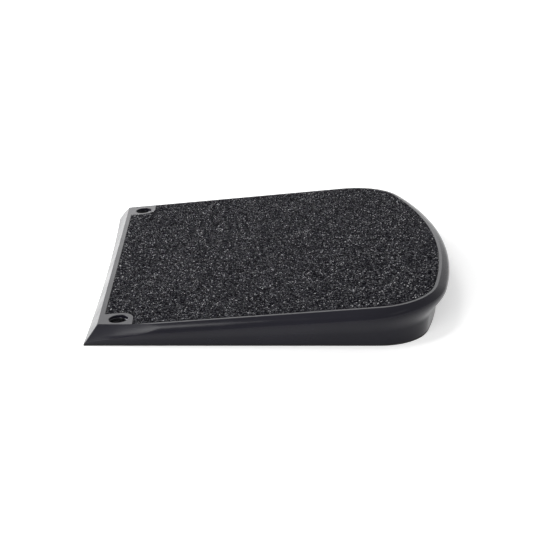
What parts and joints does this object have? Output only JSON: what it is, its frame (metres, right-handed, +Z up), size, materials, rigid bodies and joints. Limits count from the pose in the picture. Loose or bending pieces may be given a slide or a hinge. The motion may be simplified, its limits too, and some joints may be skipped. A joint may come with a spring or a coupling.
{
  "type": "wedge ramp leveler",
  "caption": "Low black wedge ramp with a grit top, a bevelled thin end, a rounded thick end with a rolled lip, and bolt holes in the thin end's corners.",
  "frame": {"origin": "middle of the footprint's box, on the ground", "axes": "+X up the slope from the thin end to the thick round end, +Z up, +Y to the left when facing up the slope"},
  "size_m": [0.1978, 0.2146, 0.0263],
  "materials": {
    "moulded_plastic": "semi-gloss black moulded plastic with a fine satin surface",
    "grit": "coarse black mineral grit held in resin",
    "adhesive": "tacky adhesive film",
    "ground_rubber": "matt black rubber",
    "sleeve_steel": "blackened turned steel"
  },
  "bodies": {
    "root": {"ramp_body": "moulded_plastic", "grit_sheet": "grit", "glue_film": "adhesive", "ground_strip": "ground_rubber", "bolt_sleeve_right": "sleeve_steel", "bolt_sleeve_left": "sleeve_steel", "rubber_pad_1": "ground_rubber", "rubber_pad_2": "ground_rubber", "rubber_pad_3": "ground_rubber", "rubber_pad_4": "ground_rubber", "rubber_pad_5": "ground_rubber", "rubber_pad_6": "ground_rubber"}
  },
  "joints": []
}
